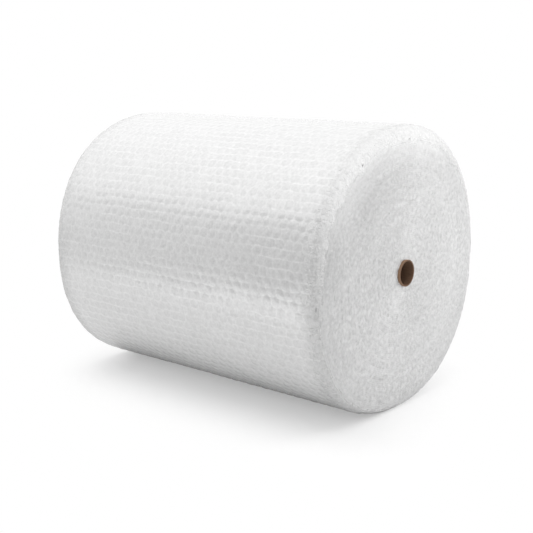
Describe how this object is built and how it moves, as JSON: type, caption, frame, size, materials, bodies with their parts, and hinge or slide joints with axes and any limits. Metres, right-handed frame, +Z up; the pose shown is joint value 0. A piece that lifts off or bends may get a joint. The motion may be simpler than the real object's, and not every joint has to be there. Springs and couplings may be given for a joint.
{
  "type": "bubble wrap roll",
  "caption": "Large roll of clear bubble wrap wound on a cardboard core, lying on its side.",
  "frame": {"origin": "on the ground, in the middle of the flat spot under the roll", "axes": "+X along the axis of the roll, +Z up, +Y across the roll"},
  "size_m": [1.012, 0.7942, 0.786],
  "materials": {
    "bubble_film": "clear low-density polyethylene film, milky where many layers lie over each other",
    "core_board": "spiral-wound brown paper board, matt"
  },
  "bodies": {
    "root": {"wound_bubble_film": "bubble_film", "cardboard_core": "core_board"}
  },
  "joints": []
}
